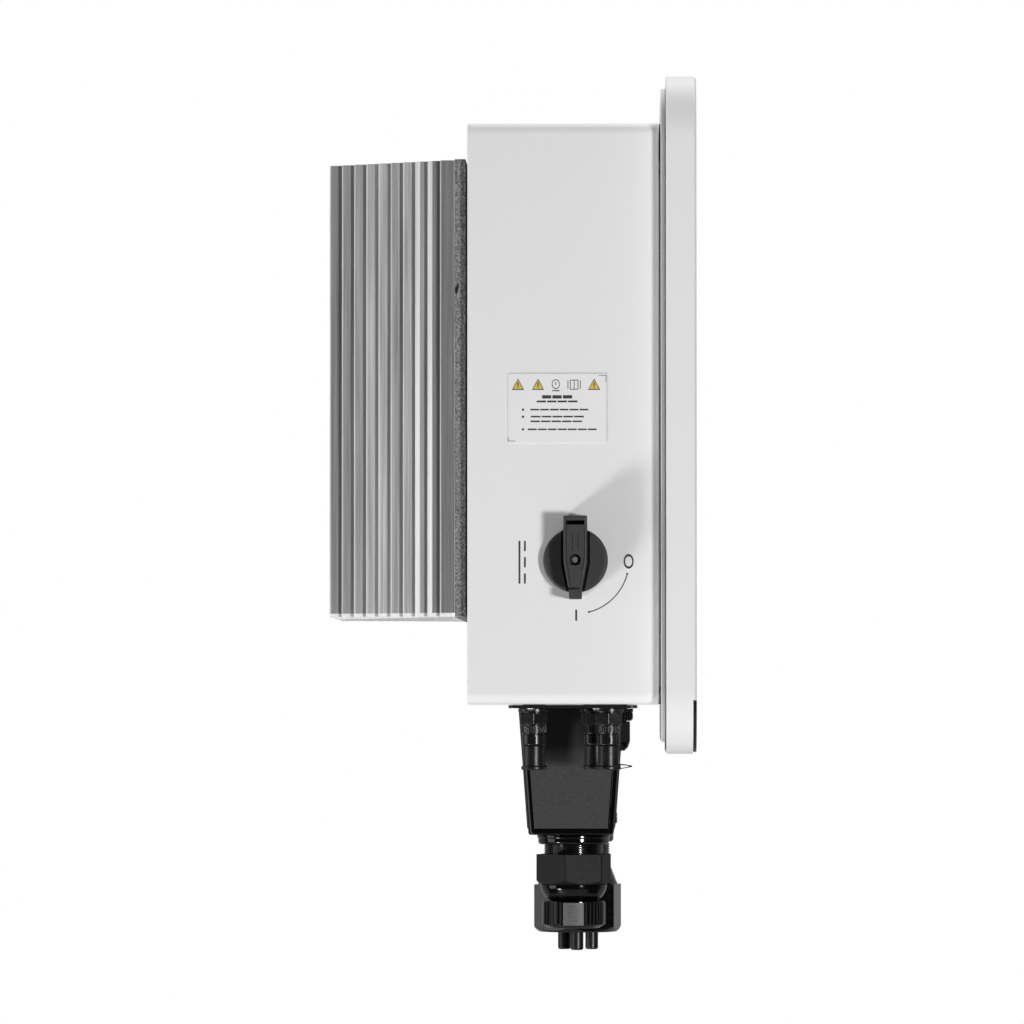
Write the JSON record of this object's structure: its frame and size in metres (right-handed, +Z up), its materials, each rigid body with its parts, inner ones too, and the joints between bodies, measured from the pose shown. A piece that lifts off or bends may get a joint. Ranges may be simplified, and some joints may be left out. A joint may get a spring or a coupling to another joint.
{
  "type": "string inverter",
  "caption": "Wall-hung solar string inverter with a deep finned heat sink, rotary DC switch, plug-in solar sockets and cable glands under the case.",
  "frame": {"origin": "middle of the flat back of the hanger rail's hook, where the inverter bears on its wall bracket", "axes": "+Z up, +Y into the wall, -Y out of the front cover, +X to the right as seen from the front; the DC switch is on the -X side"},
  "size_m": [0.3567, 0.2595, 0.6212],
  "materials": {
    "case_paint": "fine powder coat, satin",
    "cover_paint": "smooth satin paint",
    "dark_trim": "semi-gloss dark strip",
    "fin_aluminium": "extruded, dull",
    "base_aluminium": "cast and machined, rough",
    "bracket_steel": "zinc plated",
    "screw_steel": "zinc plated",
    "rubber": "matte",
    "cap_rubber": "soft matte",
    "button_rubber": "satin",
    "black_plastic": "fine spark texture",
    "gloss_plastic": "moulded nylon, glossy",
    "knob_plastic": "satin moulded",
    "display_glass": "clear dark window",
    "lcd": "unlit liquid crystal display",
    "lens": "clear light pipe",
    "circuit_board": "solder mask",
    "component_plastic": "moulded",
    "terminal_plastic": "moulded",
    "capacitor_sleeve": "shrink sleeve",
    "copper": "enamelled copper winding",
    "sticker": "printed film"
  },
  "bodies": {
    "enclosure": {"heat_sink_fins": "fin_aluminium", "heat_sink_base": "base_aluminium", "heat_sink_gasket": "rubber", "hanger_rail": "bracket_steel", "lower_strap": "bracket_steel", "case_shell": "case_paint", "case_gasket": "rubber", "front_lid": "case_paint", "lid_screw_1": "screw_steel", "lid_screw_2": "screw_steel", "lid_screw_3": "screw_steel", "lid_screw_4": "screw_steel", "front_cover": "cover_paint", "lower_trim": "dark_trim", "display_window": "display_glass", "display_board": "circuit_board", "lcd_panel": "lcd", "status_lens": "lens", "main_board": "circuit_board", "link_capacitor_1": "capacitor_sleeve", "link_capacitor_2": "capacitor_sleeve", "link_capacitor_3": "capacitor_sleeve", "link_capacitor_4": "capacitor_sleeve", "boost_inductor": "base_aluminium", "filter_inductor": "copper", "power_module_1": "component_plastic", "power_module_2": "component_plastic", "grid_relay_1": "component_plastic", "grid_relay_2": "component_plastic", "ac_terminal": "terminal_plastic", "switch_washer": "rubber", "switch_body": "component_plastic", "side_label": "sticker", "connector_plate": "black_plastic", "pv_socket_1": "black_plastic", "pv_socket_2": "black_plastic", "pv_socket_3": "black_plastic", "pv_socket_4": "black_plastic", "com_gland_body": "black_plastic", "wiring_box": "black_plastic", "wiring_gasket": "rubber", "data_gland_body": "gloss_plastic", "ac_gland_body": "gloss_plastic"},
    "dc_switch": {"switch_knob": "knob_plastic", "switch_screw": "screw_steel", "switch_shaft": "screw_steel"},
    "button_1_body": {"button_1": "button_rubber"},
    "button_2_body": {"button_2": "button_rubber"},
    "button_3_body": {"button_3": "button_rubber"},
    "button_4_body": {"button_4": "button_rubber"},
    "pv_cap_1_body": {"pv_cap_1": "cap_rubber"},
    "pv_cap_2_body": {"pv_cap_2": "cap_rubber"},
    "pv_cap_3_body": {"pv_cap_3": "cap_rubber"},
    "pv_cap_4_body": {"pv_cap_4": "cap_rubber"},
    "com_nut": {"com_gland_nut": "gloss_plastic"},
    "data_seal": {"data_gland_seal": "rubber"},
    "data_nut": {"data_gland_nut": "gloss_plastic"},
    "ac_seal": {"ac_gland_seal": "rubber"},
    "ac_nut": {"ac_gland_nut": "gloss_plastic"}
  },
  "joints": [
    {"name": "dc_switch_turn", "type": "hinge", "parent": "enclosure", "child": "dc_switch", "pos_m": [-0.155, -0.1751, -0.2429], "axis": [-1, 0, 0], "range_deg": [0, 90]},
    {"name": "button_1_press", "type": "slide", "parent": "enclosure", "child": "button_1_body", "axis": [0, 1, 0], "range_m": [0, 0.0012], "stiffness_N_per_m": 300},
    {"name": "button_2_press", "type": "slide", "parent": "enclosure", "child": "button_2_body", "axis": [0, 1, 0], "range_m": [0, 0.0012], "stiffness_N_per_m": 300},
    {"name": "button_3_press", "type": "slide", "parent": "enclosure", "child": "button_3_body", "axis": [0, 1, 0], "range_m": [0, 0.0012], "stiffness_N_per_m": 300},
    {"name": "button_4_press", "type": "slide", "parent": "enclosure", "child": "button_4_body", "axis": [0, 1, 0], "range_m": [0, 0.0012], "stiffness_N_per_m": 300},
    {"name": "pv_cap_1_pull", "type": "slide", "parent": "enclosure", "child": "pv_cap_1_body", "axis": [0, 0, -1], "range_m": [0, 0.025]},
    {"name": "pv_cap_2_pull", "type": "slide", "parent": "enclosure", "child": "pv_cap_2_body", "axis": [0, 0, -1], "range_m": [0, 0.025]},
    {"name": "pv_cap_3_pull", "type": "slide", "parent": "enclosure", "child": "pv_cap_3_body", "axis": [0, 0, -1], "range_m": [0, 0.025]},
    {"name": "pv_cap_4_pull", "type": "slide", "parent": "enclosure", "child": "pv_cap_4_body", "axis": [0, 0, -1], "range_m": [0, 0.025]},
    {"name": "com_nut_turn", "type": "hinge", "parent": "enclosure", "child": "com_nut", "pos_m": [-0.06, -0.2049, -0.346], "axis": [0, 0, -1], "range_deg": [0, 360]},
    {"name": "data_seal_drop", "type": "slide", "parent": "enclosure", "child": "data_seal", "axis": [0, 0, -1], "range_m": [0, 0.00301]},
    {"name": "data_nut_turn", "type": "hinge", "parent": "data_seal", "child": "data_nut", "pos_m": [0, -0.1721, -0.4372], "axis": [0, 0, -1], "range_deg": [0, 720]},
    {"name": "ac_seal_drop", "type": "slide", "parent": "enclosure", "child": "ac_seal", "axis": [0, 0, -1], "range_m": [0, 0.00401]},
    {"name": "ac_nut_turn", "type": "hinge", "parent": "ac_seal", "child": "ac_nut", "pos_m": [0.09, -0.1741, -0.4372], "axis": [0, 0, -1], "range_deg": [0, 720]}
  ],
  "couplings": [
    {"joint": "data_seal_drop", "follows": "data_nut_turn", "m_per_rad": 0.00023873},
    {"joint": "ac_seal_drop", "follows": "ac_nut_turn", "m_per_rad": 0.00031831}
  ]
}
